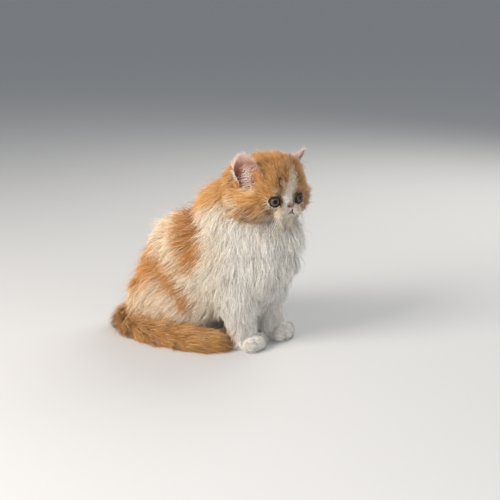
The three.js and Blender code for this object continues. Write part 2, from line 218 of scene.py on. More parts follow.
forms["tail"] = bodyForm(
    [[-74, -4, 18, 12, 13], [-90, -10, 11, 12, 13.5], [-87, -31, 8.5, 12, 13.5],
     [-64, -44.5, 8.5, 12, 13.5], [-38, -49.5, 8.5, 12, 13.5], [-10, -51, 8.5, 12, 13.5],
     [14, -48.5, 8, 11.5, 13], [34, -40, 6.5, 9, 10.5]],
    inset=5.5, level=False, ends=0.08, lie="tail", fur=(22, 42, 4), density=1.5)
paws = {
    "half": (19, 14.5, 11),
    "centres": {"left": (62, 23.5, 7), "right": (54, -19.5, 7)},
    "inset": 1.2,
    "fur": (6.5, 34, 4),
}
ears = {
    "left": [(11, 23, -4), (11, 25.5, 8), (11.5, 28.5, 20), (14.5, 37, 33.5)],
    "right": [(14, -25, -3), (14.5, -29, 9), (14, -33, 22), (15, -37.5, 36.5)],
    "widths": (7.5, 11.5, 12.4, 4.2),  # half widths from the base to the tip
    "depths": (8, 9, 7, 2.2),  # how deep the cup is
    "wall": 2.6,
    "fur": (5.5, 26, 4),
}


def curveAt(rows, share):
    # a smooth line through rows of numbers, at shares from 0 to 1
    rows = np.array(rows, float)
    rows = np.vstack([2 * rows[0] - rows[1], rows, 2 * rows[-1] - rows[-2]])
    place = np.clip(np.asarray(share, float), 0, 1) * (len(rows) - 3)
    i = np.minimum(place.astype(int), len(rows) - 4)
    f = (place - i)[..., None]
    a, b, c, d = (rows[i + k] for k in range(4))
    return 0.5 * (2 * b + (c - a) * f + (2 * a - 5 * b + 4 * c - d) * f**2 + (3 * b - a - 3 * c + d) * f**3)


def middleLine(form, count):
    return curveAt(form["stations"], np.linspace(0, 1, count))[:, :3]


def formPoints(form, share, angle, inset):
    rows = curveAt(form["stations"], share)
    sizes = np.maximum(rows[..., 3:5] - inset, 1)
    rim = np.minimum(1, np.minimum(share, 1 - share) / form["ends"])
    rounded = np.sqrt(np.maximum(0, 1 - (1 - rim) ** 2))[..., None]
    if form["level"]:
        a, b = np.array([1.0, 0, 0]), np.array([0, 1.0, 0])
    else:
        ahead, behind = [curveAt(form["stations"], share + step) for step in (0.01, -0.01)]
        along = unit(unit(ahead - behind)[..., :3])
        a = unit(np.cross([0, 0, 1.0], along))
        b = np.cross(along, a)
    across = a * (sizes[..., :1] * np.cos(angle)[..., None])
    up = b * (sizes[..., 1:] * np.sin(angle)[..., None])
    return rows[..., :3] + rounded * (across + up)


def addSphere(bm, sides, rings, radius=1):
    return bmesh.ops.create_uvsphere(bm, u_segments=sides, v_segments=rings, radius=radius)["verts"]


def placesOf(verts):
    return np.array([v.co for v in verts])


def moveVerts(verts, moved):
    for vert, place in zip(verts, moved):
        vert.co = place


def addForm(bm, form):
    verts = addSphere(bm, 40, 36)
    co = placesOf(verts)
    angle = np.arctan2(co[:, 1], co[:, 0])
    moveVerts(verts, formPoints(form, 0.5 + 0.5 * co[:, 2], angle, form["inset"]))


def addBall(bm, centre, half, onHead=False, sides=32, rings=20):
    verts = addSphere(bm, sides, rings)
    place = Matrix.Translation(centre) @ Matrix.Diagonal((*half, 1))
    bmesh.ops.transform(bm, matrix=headPlace @ place if onHead else place, verts=verts)


swellings = [  # way out of the skull, height and spread
    ((0.45, 0.72, -0.55), 4.5, 0.36), ((0.45, -0.72, -0.55), 4.5, 0.36),  # cheeks
    ((0.84, 0.46, -0.3), 2.4, 0.24), ((0.84, -0.46, -0.3), 2.4, 0.24),  # round the eyes
    ((0.82, 0, -0.57), 4.2, 0.26),  # behind the muzzle
    ((0.8, 0, 0.6), 1.5, 0.35),  # forehead
    ((0.97, 0, -0.05), -1.4, 0.16),  # the dip above the nose
    ((0.42, 0.52, 0.74), 1.6, 0.32), ((0.42, -0.52, 0.74), 0.4, 0.32),  # upper forehead
    ((-0.3, 0, 0.95), -3.8, 0.45), ((0.18, 0.66, 0.73), 2.8, 0.28),  # crown
]


def skullPoints(ways, depth):
    points = ways * (skullHalf - depth)
    for at, height, spread in swellings:
        share = np.exp(-((ways - np.array(at)) ** 2).sum(-1) / (2 * spread**2))
        points = points + ways * (height * share)[..., None]
    return points


def addSkull(bm):
    verts = addSphere(bm, 72, 48)
    for vert, place in zip(verts, skullPoints(placesOf(verts), head["shortCoat"])):
        vert.co = headPlace @ Vector(place)


def addEar(bm, sideName, side):
    # a sphere pressed into a cup: its front wall follows its back wall
    verts = addSphere(bm, 40, 32)
    opening, across = Vector((0.8, 0.6 * side, 0)), Vector((0.6, -0.8 * side, 0))
    for vert in verts:
        share = 0.5 + 0.5 * vert.co.z
        middle = Vector(curveAt(ears[sideName], share))
        width = float(curveAt([[w] for w in ears["widths"]], share)[0])
        depth = float(curveAt([[d] for d in ears["depths"]], share)[0])
        rim = min(1, min(share, 1 - share) / 0.12)
        rounded = math.sqrt(max(0, 1 - (1 - rim) ** 2))
        flat = math.hypot(vert.co.x, vert.co.y) or 1
        x, y = vert.co.x / flat, vert.co.y / flat
        wall = 0.5 * ears["wall"] * min(1, abs(y) * 4) * (1 if y > 0 else -1)
        out = rounded * (0.35 * depth - depth * abs(y) + wall)
        vert.co = headPlace @ (middle + across * (rounded * width * x) + opening * out)


def addPaw(bm, centre):
    half = [h - paws["inset"] for h in paws["half"]]
    addBall(bm, centre, half)
    for slot in (-1.5, -0.5, 0.5, 1.5):
        reach = 0.55 if abs(slot) > 1 else 0.72
        toe = (centre[0] + half[0] * reach, centre[1] + slot * paws["half"][1] / 1.9, centre[2] - 1)
        addBall(bm, toe, (half[0] * 0.36, half[1] * 0.29, half[2] * 0.72), sides=20, rings=14)


def soften(bm, verts, times):
    for _ in range(times):
        bmesh.ops.smooth_vert(bm, verts=verts, factor=0.5, use_axis_x=True, use_axis_y=True,
                              use_axis_z=True)


# One skin for all the flesh
skinShape = {
    "floor": 0.4,  # nothing lies lower
    "bridge": ((32.6, 0, -9.5), (6, 6.2, 7)),  # middle and half size, under the nose
    "lidDepth": 1.0,
    "grid": 1.25,  # mm
    "smoothing": 4,
    "napeSmoothing": 40,  # from the skull down to the back
    "lipGroove": 1.5,
    "socket": 1.6,  # how far under the front of the eye
}
bm = bmesh.new()
for form in forms.values():
    addForm(bm, form)
addSkull(bm)
for side, sideName in bothSides:
    mirror = Vector((1, side, 1))
    addBall(bm, Vector(head["padCentre"]) * mirror, head["padHalf"], onHead=True)
    lid = [head["eyeRadius"] + skinShape["lidDepth"]] * 3
    addBall(bm, Vector(head["eyeBall"]) * mirror, lid, onHead=True)
    addEar(bm, sideName, side)
    addPaw(bm, paws["centres"][sideName])
addBall(bm, head["chinCentre"], head["chinHalf"], onHead=True)
addBall(bm, *skinShape["bridge"], onHead=True)
bmesh.ops.bisect_plane(bm, geom=bm.verts[:] + bm.edges[:] + bm.faces[:], clear_outer=True,
                       plane_co=(0, 0, skinShape["floor"]), plane_no=(0, 0, -1))
bmesh.ops.holes_fill(bm, edges=[e for e in bm.edges if e.is_boundary], sides=0)
bmesh.ops.recalc_face_normals(bm, faces=bm.faces[:])
rough = bpy.data.meshes.new("rough")
bm.to_mesh(rough)
bm.free()
shell = addObject("shell", rough)
remesh = shell.modifiers.new("remesh", "REMESH")
remesh.mode = "VOXEL"
remesh.voxel_size = skinShape["grid"]
bpy.context.view_layer.update()
skinMesh = bpy.data.meshes.new_from_object(shell.evaluated_get(bpy.context.evaluated_depsgraph_get()))
bpy.data.objects.remove(shell)
bm = bmesh.new()
bm.from_mesh(skinMesh)
soften(bm, bm.verts, skinShape["smoothing"])


def eyeFrame(side):
    # the eye's own place: +X the way it looks
    middle = Matrix.Translation(Vector(head["eyeBall"]) * Vector((1, side, 1)))
    return headPlace @ middle @ Matrix.Rotation(side * head["eyeSplay"], 4, "Z")


# The lids part round each eye, and a groove runs between the lips
lids = {
    "halfWidth": 6.0,
    "upper": 5.1,  # half height above the middle
    "lower": 5.5,
    "slant": 0.14,  # the inner corners sit lower
    "rim": 1.25,  # half width of the dark edge
}
lipPaths = [[(42.6, 0, -21), (42.3, side * 1.2, -21.9), (42, side * 2.4, -22.8), (41.4, side * 3.6, -23.4)]
            for side in (1, -1)]
lipPaths.append([(44.5, 0, -14.5), (43.8, 0, -17), (43.2, 0, -19.5), (42.6, 0, -21)])


def toEye(points, side):
    return placedBy(points, eyeFrame(side).inverted())


def insideLids(local, side, margin=0.0):
    # below 1 within the parting of the lids
    rise = local[:, 2] - side * lids["slant"] * local[:, 1]
    rise /= np.where(rise > 0, lids["upper"], lids["lower"]) + margin
    oval = np.hypot(local[:, 1] / (lids["halfWidth"] + margin), rise)
    return np.where((local[:, 0] > 0) & (np.linalg.norm(local, axis=1) < head["eyeRadius"] + 6), oval, 99)


def lipGap(face):
    # how far points of the head are from the lips
    line = np.vstack([curveAt(path, np.linspace(0, 1, 30)) for path in lipPaths])
    gap = np.full(len(face), 99.0)
    near = face[:, 0] > 24
    gap[near] = gaps(face[near], line).min(1)
    return gap


co = placesOf(bm.verts)
behind = (toHead(co)[:, 0] < 2) & (co[:, 2] > 24)
soften(bm, [vert for vert, chosen in zip(bm.verts, behind) if chosen], skinShape["napeSmoothing"])
co = placesOf(bm.verts)
face = toHead(co)
pressed = skinShape["lipGroove"] * np.exp(-((lipGap(face) / 3.2) ** 4))
co -= fromHead(unit(face * np.array([1, 0.5, 0.5]))) * pressed[:, None]
for side in (1, -1):
    local = toEye(co, side)
    opened = insideLids(local, side) < 1
    shrink = (head["eyeRadius"] - skinShape["socket"]) / np.linalg.norm(local[opened], axis=1)
    co[opened] = placedBy(local[opened] * shrink[:, None], eyeFrame(side))
moveVerts(bm.verts, co)
skinSurface = BVHTree.FromBMesh(bm)
bm.to_mesh(skinMesh)
bm.free()
print("skin shaped:", len(skinMesh.polygons), "faces")


# Markings and painted shade, in sRGB hex
coatColours = {
    "orange": "#bf7f3c",
    "deepOrange": "#905622",
    "paleOrange": "#dba660",
    "cream": "#ead9be",
    "white": "#f1ede5",
    "lid": "#1d130d",
    "earCream": "#f0d9cb",
    "brown": "#4f3019",
    "earPink": "#c2816f",
    "earBlush": "#d9a48c",
    "earCupShade": "#522219",
}
coatColours = {name: np.array(linear(value)[:3]) for name, value in coatColours.items()}
patches = {  # lines of [x, z, reach] over the back and both flanks
    "saddle": [(-24, 138, 14), (-9, 118, 18), (-2, 100, 17), (1, 84, 10)],
    "hip": [(-84, 58, 26), (-60, 70, 19), (-38, 71, 14), (-18, 60, 11), (-4, 42, 8)],
}
waves = unit(random.normal(size=(16, 3))) * (2 * np.pi / np.geomspace(9, 42, 16))[:, None]
wavePhase = random.uniform(0, 2 * np.pi, 16)


def softNoise(points, first=0, last=16):
    return np.sin(points @ waves[first:last].T + wavePhase[first:last]).mean(-1) * 2


def streaks(points, along):
    # noise drawn out along the lie of the coat
    along = np.array(along) / np.linalg.norm(along)
    return softNoise((points - 0.8 * (points @ along)[:, None] * along) * 1.5, 0, 12)


def blendColour(colour, name, mask):
    return colour + (coatColours[name] - colour) * np.clip(mask, 0, 1)[:, None]


def washed(colour, washes):
    # washes of named colours laid one over another, each with how much of it every point takes
    for name, mask in washes:
        colour = blendColour(colour, name, mask)
    return colour


def marks(points, rows, side=1):
    # one wash for each oval mark: full in its middle and gone at its edge
    washes = []
    for name, strength, (x, y, z), half in rows:
        off = (points - np.array((x, y * side, z))) / np.array(half)
        washes.append((name, strength * fade((off**2).sum(-1), 0.4, 1.4)))
    return washes


def patchMask(points, line, wander):
    rows = curveAt(line, np.linspace(0, 1, 24))
    gap = np.hypot(points[:, None, 0] - rows[:, 0], points[:, None, 2] - rows[:, 1]) / rows[:, 2]
    return fade(gap.min(1) + 0.34 * wander, 0.6, 1.25)


def earPlace(face, normals, side, sideName):
    # how surely a point is on this ear, how far it faces out of the cup, and its way from the middle
    sizes = np.stack([ears["widths"], ears["depths"]], 1)
    rows = curveAt(np.hstack([ears[sideName], sizes]), np.linspace(0, 1, 30))
    here = rows[gaps(face, rows[:, :3]).argmin(1)]
    off = face - here[:, :3]
    across = off @ np.array([0.6, -0.8 * side, 0])
    out = off @ np.array([0.8, 0.6 * side, 0])
    near = fade(np.abs(across) / here[:, 3], 1.1, 1.35)
    near *= fade(out - 0.35 * here[:, 4], 1.5, 3.5)
    near *= smoothStep(out + 0.65 * here[:, 4], -6, -3.5) * smoothStep(face[:, 2], 0, 6)
    onSkull = fade(np.linalg.norm(face / skullHalf, axis=1), 0.99, 1.06)
    near *= 1 - onSkull * smoothStep(across, 4, 9)
    turned = (normals @ np.array(headPlace)[:3, :3]) @ np.array([0.8, 0.6 * side, 0])
    return near, turned, across


def bodyColour(points, wander):
    x, y, z = points.T
    dark = streaks(points, (0.7, 0, 0.7))
    saddle = patchMask(points, patches["saddle"], wander)
    hip = patchMask(points, patches["hip"], wander) * smoothStep(-x, -14, 4)
    rump = fade(z, 20, 34) * smoothStep(-x, 62, 80)
    nape = smoothStep(z - 0.25 * x + 4 * wander, 130, 141) * smoothStep(-x, -66, -46)
    orangePart = np.maximum.reduce([saddle, hip, rump, nape])
    return washed(np.tile(coatColours["white"], (len(points), 1)), [
        ("cream", (0.65 + 0.3 * wander) * fade(x, 22, 50)),
        ("orange", saddle),
        ("orange", hip),
        ("orange", 0.9 * rump),
        ("orange", nape),
        ("paleOrange", 0.6 * nape),
        ("paleOrange", 0.35 * fade(x, -30, 10) * (1 - orangePart)),
        ("paleOrange", 0.6 * orangePart * np.clip(0.3 - dark, 0, 1)),
        ("deepOrange", 0.6 * orangePart * np.clip(dark, 0, 1)),
        ("deepOrange", 0.5 * saddle * smoothStep(z, 98, 118)),
    ])


def tailColour(points, wander, fine):
    gap = gaps(points, middleLine(forms["tail"], 60))
    bands = np.sin(gap.argmin(1) / 60 * 46) - 1.2 * (gap.argmin(1) < 14)
    colour = washed(np.tile(coatColours["orange"], (len(points), 1)), [
        ("paleOrange", 0.5 + 0.5 * wander),
        ("deepOrange", 0.7 * np.clip(bands * 0.6 + fine * 0.7, 0, 1)),
        ("brown", 0.6 * np.clip(fine + 0.5 * bands - 0.4, 0, 1)),
    ])
    return colour, fade(gap.min(1), 14, 18) * fade(points[:, 2], 21, 27)


# Marks on the head, and painted shade under the chin: colour, strength, middle and half size
foreheadMarks = [  # brow streaks, not the same on both sides
    ("brown", 1.0, (34, -7, 10), (7, 2, 10)),
    ("brown", 0.75, (34.5, -0.8, 11.5), (5, 2.2, 2.6)),
    ("cream", 0.75, (35.5, -3.2, 6.5), (4, 2.4, 4)),
    ("deepOrange", 0.9, (26, -5, 25), (7, 1.7, 7)),
    ("deepOrange", 0.9, (18, -8, 29), (6, 2, 6)),
    ("brown", 0.75, (16.5, -15, 27.5), (6, 3.6, 4)),
    ("brown", 0.75, (31, 16.5, 10), (7, 2.4, 9)),
    ("brown", 0.75, (22, 19, 23), (7, 3.2, 5)),
]
sideMarks = [
    ("paleOrange", 0.8, (12, 32, -6), (12, 9, 7)),
    ("cream", 0.6, (15, 29, 3), (9, 8, 6)),  # below the ear
    ("cream", 0.8, (-1, 40, -12), (9, 9, 9)),  # ruff behind the cheek
    ("cream", 0.8, (30, 18, -19), (6, 5, 9)),  # cheek beside the muzzle
    ("deepOrange", 1.0, (29.5, 16, -18.5), (6.5, 6, 5)),  # below the eye
    ("brown", 0.4, (29, 17, -18.5), (5, 4, 3)),
    ("cream", 0.6, (25, 25, -22), (5, 5, 3.5)),
    ("deepOrange", 1.0, (15, 33, -18), (9, 9, 6)),
    ("brown", 0.5, (18, 31.5, -18.5), (6, 5, 3)),
    ("deepOrange", 0.8, (19, 28, -28), (8, 8, 5)),
    ("brown", 0.85, (36, 9, -2), (5, 3.2, 3)),  # over the inner lid
    ("cream", 0.6, (35, 12, 0.5), (5, 4, 3.4)),  # brow
]
aboveNose = [("white", 0.7, (38, 0, -8), (7, 8.4, 8))]
tearMarks = [("brown", 0.8, (36.5, 8.4, -10.5), (3.5, 1.8, 3.4))]
# painted shade under the chin, where the head shadows the throat
throatShade = [("brown", 0.34, (26, -6, -36), (16, 16, 9))]


def headColour(face, wander, fine):
    x, y, z = face.T
    lines = streaks(face, (0.3, 0, 1))
    middle = np.interp(z, [-9, -1, 12, 22], [0, 3, 8, 9.7])
    blaze = fade(np.abs(y - middle) / np.interp(z, [0, 24], [5.2, 3.4]), 0.5, 1.3)
    blaze *= smoothStep(x, 16, 24) * fade(z, 14, 30) * (0.75 + 0.6 * np.clip(-lines, -0.6, 0.4))
    muzzle = smoothStep(x, 25, 31) * fade(z, -13, -9) * fade(np.abs(y), 7, 16)
    chin = fade(z + 0.2 * np.abs(y), -30, -25)
    colour = washed(np.tile(coatColours["orange"], (len(face), 1)), [
        ("paleOrange", 0.4 + 0.6 * wander),
        ("deepOrange", 0.75 * np.clip(lines, 0, 1) * smoothStep(z, -4, 12)),
        ("deepOrange", 0.5 * np.clip(fine, 0, 1)),
        ("cream", 0.8 * np.clip(0.5 + wander, 0, 1) * fade(z, -27, -12)),
        *marks(face, sideMarks),
        *marks(face, sideMarks, -1),
        ("cream", blaze),
        ("white", 0.6 * blaze * fade(z, 4, 16)),
        *marks(face, foreheadMarks),
        ("white", np.maximum(0.85 * muzzle, 0.85 * chin)),
        ("cream", (0.5 + 0.5 * fine) * np.maximum(muzzle, 0.7 * chin)),
        ("paleOrange", 0.25 * muzzle * smoothStep(np.abs(y), 3, 9) * (1 + wander)),
        *marks(face, aboveNose),
        *marks(face, tearMarks),
        *marks(face, tearMarks, -1),
    ])
    reach = np.linalg.norm(face / (skullHalf + 6), axis=1)
    return colour, fade(reach, 1.02, 1.2) * smoothStep(z, -38, -30)


def coatColour(points, normals):
    wander = softNoise(points, 4, 16)
    fine = softNoise(points * 2.2, 0, 12)
    colour = bodyColour(points, wander)
    face = toHead(points)
    high = face[:, 2]
    for part, mask in (tailColour(points, wander, fine), headColour(face, wander, fine)):
        colour = colour + (part - colour) * mask[:, None]
    colour = washed(colour, marks(face, throatShade))
    for side, sideName in bothSides:
        local = toEye(points, side)
        oval, outward = insideLids(local, side), side * local[:, 1]
        paleEdge = fade(oval, 1.15, 1.5) * smoothStep(outward - local[:, 2], 1, 6)
        # the dark edge is painted shade round the upper inner lid, together with dark fur along the inner
        # side of the eye
        lidShadeDarkEdge = fade(oval, 1.35, 1.8) * smoothStep(0.4 * local[:, 2] - outward, 2.5, 5)
        near, turned, across = earPlace(face, normals, side, sideName)
        atRim = smoothStep(turned, -0.5, -0.1) * fade(across, 0, 5) * smoothStep(high, 8, 16)
        pink = smoothStep(turned, 0.25, 0.55) * smoothStep(high, 2, 9)
        pink *= 1 - 0.6 * smoothStep(high, 24, 34)
        # painted shade low in the ear cup and on its back wall
        cupShade = smoothStep(turned, 0.4, 0.8) * fade(high + 0.5 * across, 8, 28)
        colour = washed(colour, [
            ("white", 0.6 * paleEdge),  # white hairs edge the lower outer lid
            ("brown", 0.85 * lidShadeDarkEdge),
            ("lid", fade(oval, 1.0, 1.08)),
            ("paleOrange", 0.5 * near),
            ("earCream", near * np.maximum(atRim, smoothStep(high, 22, 32))),
            ("earBlush", 0.8 * near * smoothStep(across, 2, 6) * fade(high, 28, 34)),
            ("earPink", near * pink),
            ("earCupShade", 0.9 * near * cupShade),
        ])
    return colour


# Coat: the comb, length and lift of each place on the body
def formLie(form, points, normals):
    if form["lie"] == "body":
        chest = smoothStep(points[:, 0], 0, 70)
        way = np.stack([-0.75 + 0.85 * chest, 0 * chest, -0.75 - 0.25 * chest], 1)
    elif form["lie"] == "tail":
        line = middleLine(form, 200)
        way = unit(np.gradient(line, axis=0))[gaps(points, line).argmin(1)]
    else:
        way = np.tile(np.array(form["lie"], float), (len(points), 1))
    return tangent(way, normals)


def formGuides():
    share, angle = np.meshgrid(np.linspace(0.03, 0.97, 26), np.linspace(0, 2 * np.pi, 30)[:-1])
    share, angle = share.ravel(), angle.ravel()
    rows = []
    for name, form in forms.items():
        points = formPoints(form, share, angle, form["inset"])
        ahead = formPoints(form, np.minimum(share + 0.01, 0.99), angle, form["inset"])
        around = formPoints(form, share, angle + 0.02, form["inset"])
        normals = unit(np.cross(around - points, ahead - points))
        middle = curveAt(form["stations"], share)[:, :3]
        normals *= np.sign(((points - middle) * normals).sum(-1, keepdims=True) + 1e-9)
        values = np.tile([*form["fur"], form["density"]], (len(points), 1))
        if form["lie"] == "tail":
            values[:, 0] *= 0.7 + 0.3 * smoothStep(share, 0, 0.3)
        if "front_leg" in name:
            values[:, 0] *= 1.35 - 0.75 * share
        if form["lie"] == "body":  # the back stands out more than the flanks
            onBack = fade(points[:, 0], 0, 40) * smoothStep(normals[:, 2], -0.2, 0.3)
            onChest = smoothStep(points[:, 0], 30, 60)
            values += np.outer(onBack, [0, 6, 16, 0]) - np.outer(onChest, [3, 6, 14, 0])
        rows.append((points, formLie(form, points, normals), values))
    return rows


def ballGuides(count, centre, half, lie, values, outwards=(0, 0, 0)):
    ways = unit(random.normal(size=(count, 3)))
    lies = tangent(ways * np.array(outwards) + np.array(lie), ways)
    return np.array(centre) + ways * np.array(half), lies, np.tile(values, (count, 1))


def headGuides():
    ways = unit(random.normal(size=(1800, 3)))
    points = skullPoints(ways, head["shortCoat"])
    normals = unit(ways / skullHalf)
    away = smoothStep(np.linalg.norm(points - np.array([38, 0, -8]), axis=1), 12, 36)
    behind = smoothStep(-points[:, 0], -16, 14)
    jaw = fade(points[:, 2], -18, 2)
    cheek = jaw * smoothStep(np.abs(points[:, 1]), 13, 26)
    beard = jaw * fade(np.abs(points[:, 1]), 10, 22) * smoothStep(-points[:, 2], 20, 27)
    lie = unit(points - np.array([46, 0, -10])) + behind[:, None] * np.array([-0.4, 0, -1.6])
    lie = lie + cheek[:, None] * np.array([-0.45, 0, -0.8]) + beard[:, None] * np.array([0.5, 0, -1.4])
    hairLength = 3.6 + 5 * away + 8 * behind + 8.5 * cheek + 9 * beard
    lift = 24 + 14 * away + 8 * cheek
    values = np.stack([hairLength, lift, 2 + 10 * away - 14 * behind, 3.2 - 1.5 * away], 1)
    rows = [(points, tangent(lie, normals), values)]
    for side in (1, -1):
        pad = np.array(head["padCentre"]) * np.array([1, side, 1])
        rows.append(ballGuides(140, pad, head["padHalf"], (-0.3, 0.9 * side, -0.5), (6, 34, -4, 3.0)))
    rows.append(ballGuides(120, head["chinCentre"], head["chinHalf"], (0.1, 0, -1), (9, 30, 4, 3.2),
                           outwards=(0.3, 0.8, 0)))
    for side, sideName in bothSides:
        points = curveAt(ears[sideName], np.linspace(0.3, 1, 40))
        way = np.tile(unit(np.array([-0.15, 0.3 * side, 1.0])), (40, 1))
        rows.append((points, way, np.tile([*ears["fur"], 3.0], (40, 1))))
    return [(placedBy(points, headPlace), fromHead(lie), values) for points, lie, values in rows]


def pawGuides():
    half = np.array(paws["half"]) - paws["inset"]
    return [ballGuides(160, centre, half, (1.0, 0, -0.25), (*paws["fur"], 2.2))
            for centre in paws["centres"].values()]


def nearTree(points):
    tree = KDTree(len(points))
    for i, place in enumerate(points):
        tree.insert(place, i)
    tree.balance()
    return tree


skinCo = readValues(skinMesh.vertices, "co", 3)
skinNormal = readValues(skinMesh.vertices, "normal", 3)
guides = zip(*formGuides(), *headGuides(), *pawGuides())
guidePlaces, guideLies, guideValues = [np.concatenate(part) for part in guides]
guideTree = nearTree(guidePlaces)
combed = np.zeros_like(skinCo)
coatValues = np.zeros((len(skinCo), 4))
for i, place in enumerate(skinCo):
    near = guideTree.find_n(place, 7)
    index = [found[1] for found in near]
    weight = 1 / (np.array([found[2] for found in near]) ** 2 + 4)
    combed[i] = weight @ guideLies[index]
    coatValues[i] = weight @ guideValues[index] / weight.sum()
drift = np.stack([softNoise(skinCo + 100 * k, 0, 12) for k in (1, 2, 3)], 1)
combed = unit(combed) + 0.36 * drift

# shorter at the lips, the nose and the lids, thin inside the ears
lengths, lifts, densities = (coatValues[:, k] for k in (0, 1, 3))  # changed in place
face = toHead(skinCo)
lengths *= 0.25 + 0.75 * smoothStep(lipGap(face), 2, 5)
noseGap = np.linalg.norm((face - np.array(head["noseTip"])) / np.array([4.4, 4.2, 3.2]), axis=1)
lengths *= 0.5 + 0.5 * smoothStep(noseGap, 1, 2.2)
densities[noseGap < 0.9] = 0
for side, sideName in bothSides:
    local = toEye(skinCo, side)
    oval = insideLids(local, side, 0.3)
    densities[oval < 1] = 0
    closeBy = fade(np.minimum(oval, 9), 1.05, 1.7)
    lengths += closeBy * (2.8 - lengths)
    lifts += 6 * closeBy
    densities *= 1 + 1.2 * closeBy
    outward = unit(local * np.array([0, 1, 1]))
    combed += 2.0 * closeBy[:, None] * turnedBy(outward, eyeFrame(side))
    near, turned, across = earPlace(face, skinNormal, side, sideName)
    inner = near * smoothStep(turned, 0.25, 0.5)
    lengths += inner * (1.6 - lengths)
    densities *= 1 - 0.6 * inner
densities[skinCo[:, 2] < 1.2] = 0
combed = tangent(combed, skinNormal)
skinColours = coatColour(skinCo, skinNormal)
print("coat combed")


# Dense kitten undercoat, felted: gives a soft mottled ground where the hairs part
def coatMaterial(name, roughness, felted):
    material, tree, where = newMaterial(name)
    paint = addNode(tree, "ShaderNodeAttribute", {"attribute_name": "coat"})
    mottle = addNoise(tree, where, 420, 3)  # 2.4 mm tufts
    shade = addNode(tree, "ShaderNodeMapRange", inputs={
        "Value": mottle.outputs["Fac"], "From Min": 0.3, "From Max": 0.7, "To Min": 0.86, "To Max": 1.1})
    tinted = addNode(tree, "ShaderNodeVectorMath", {"operation": "SCALE"}, {
        0: paint.outputs["Color"], "Scale": shade.outputs["Result"]})
    look = {"Base Color": tinted.outputs["Vector"], "Roughness": roughness, "Specular IOR Level": 0.25,
            "Sheen Weight": 0.12, "Sheen Roughness": 0.4}
    if felted:
        felt = addNoise(tree, where, 1400, 4)  # 0.7 mm
        raised = addNode(tree, "ShaderNodeBump", inputs={
            "Height": felt.outputs["Fac"], "Strength": 0.5, "Distance": 0.0006})
        look["Normal"] = raised.outputs["Normal"]
    addSurface(tree, look)
    return material


undercoat = coatMaterial("felted undercoat", 0.9, felted=True)
woollyHair = coatMaterial("woolly kitten hair", 0.62, felted=False)

skin = addObject("skin", skinMesh)
bpy.context.view_layer.objects.active = skin
skin.select_set(True)
bpy.ops.object.mode_set(mode="EDIT")
bpy.ops.mesh.select_all(action="SELECT")
bpy.ops.uv.smart_project(angle_limit=math.radians(66), island_margin=0.002)
bpy.ops.object.mode_set(mode="OBJECT")
skinMesh.uv_layers[0].name = "skinPlan"
skinUv = readValues(skinMesh.uv_layers[0].data, "uv", 2)
skinMesh.calc_loop_triangles()
triVerts = readValues(skinMesh.loop_triangles, "vertices", 3, int)
triLoops = readValues(skinMesh.loop_triangles, "loops", 3, int)
paint = skinMesh.color_attributes.new("coat", "FLOAT_COLOR", "POINT")
# the skin takes the coat colours at 0.74 of their brightness: painted shade down among the hair roots
paint.data.foreach_set("color", np.column_stack([skinColours * 0.74, np.ones(len(skinColours))]).ravel())
skinMesh.materials.clear()
skinMesh.materials.append(undercoat)
skinMesh.transform(bodyPlace)
skinMesh.shade_smooth()
finishPiece(skin, "coat_white", *[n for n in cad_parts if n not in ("eye_left", "eye_right", "nose")])
print("skin finished")


# Hairs grow all over the skin, and a few long wisps inside the ears
coat = {
    "hairs": 97500,
    "wisps": {"count": 210, "colour": "earCream", "fur": (13, 50, 12)},  # across each ear
    "fringe": {"count": 680, "colour": "earCream", "fur": (7, 34, 18)},  # along its rim
    "beard": {"count": 150, "colour": "cream", "fur": (19, 38, 2)},  # under the chin
    "stray": 0.07,  # hairs that stand out of their lock
    "rootWidth": 0.48,  # mm
    "clumpShare": 1 / 13,  # one hair in so many leads a clump
    "lockShare": 1 / 150,
    "curl": 2.1,  # mm on the longest hairs
    "bend": 0.2,  # how far locks curve to the side, as a share of their length
    "unruly": 9,  # degrees
    "mostLift": 27,  # degrees that a hair may stand up beyond its neighbours
}
corners = skinCo[triVerts]
area = 0.5 * np.linalg.norm(np.cross(corners[:, 1] - corners[:, 0], corners[:, 2] - corners[:, 0]), axis=1)
thickness = area * coatValues[triVerts, 3].min(1)
chosen = np.sort(random.choice(len(thickness), coat["hairs"], p=thickness / thickness.sum()))
middles, facing = toHead(corners.mean(1)), unit(skinNormal[triVerts].mean(1))
high, reach = middles[:, 2], np.linalg.norm(middles / (skullHalf + 6), axis=1)
extraLies, extraValues, extraColours = [], [], []
for side, sideName in bothSides:
    near, turned, across = earPlace(middles, facing, side, sideName)
    inFront = (near > 0.6) & (turned > 0) & (across > -1) & (high > 1) & (high < 27)
    rim = (near > 0.6) & (np.abs(turned) < 0.45) & (high > 5) & ((across < 4) | (high > 26))
    jaw = (middles[:, 0] > 12) & (high < -21) & (middles[:, 1] * side > 0) & (reach < 1.1)
    outwards = across[:, None] / 12 * np.array([0.6, -0.8 * side, 0])
    rimLies = np.array([-0.1, 0.25 * side, 1]) + 0.7 * outwards
    wispLies = np.tile([-0.45, 0.6 * side, -0.65], (len(middles), 1))
    jawLies = np.column_stack([0.1 + 0 * across, 0.03 * middles[:, 1], -1 + 0 * across])
    extras = {"wisps": (inFront, wispLies), "fringe": (rim, rimLies), "beard": (jaw, jawLies)}
    for name, (place, lies) in extras.items():
        count = coat[name]["count"]
        picked = random.choice(np.nonzero(place)[0], count)
        chosen = np.append(chosen, picked)
        extraColours.append(coatColours[coat[name]["colour"]] * random.uniform(0.8, 1.15, (count, 1)))
        extraLies.append(lies[picked])
        extraValues.append(np.tile([*coat[name]["fur"], 1], (count, 1)))
isExtra = np.arange(len(chosen)) >= coat["hairs"]
spread = np.sqrt(random.uniform(size=len(chosen)))
second = random.uniform(size=len(chosen))
share = np.stack([1 - spread, spread * (1 - second), spread * second], 1)[:, :, None]
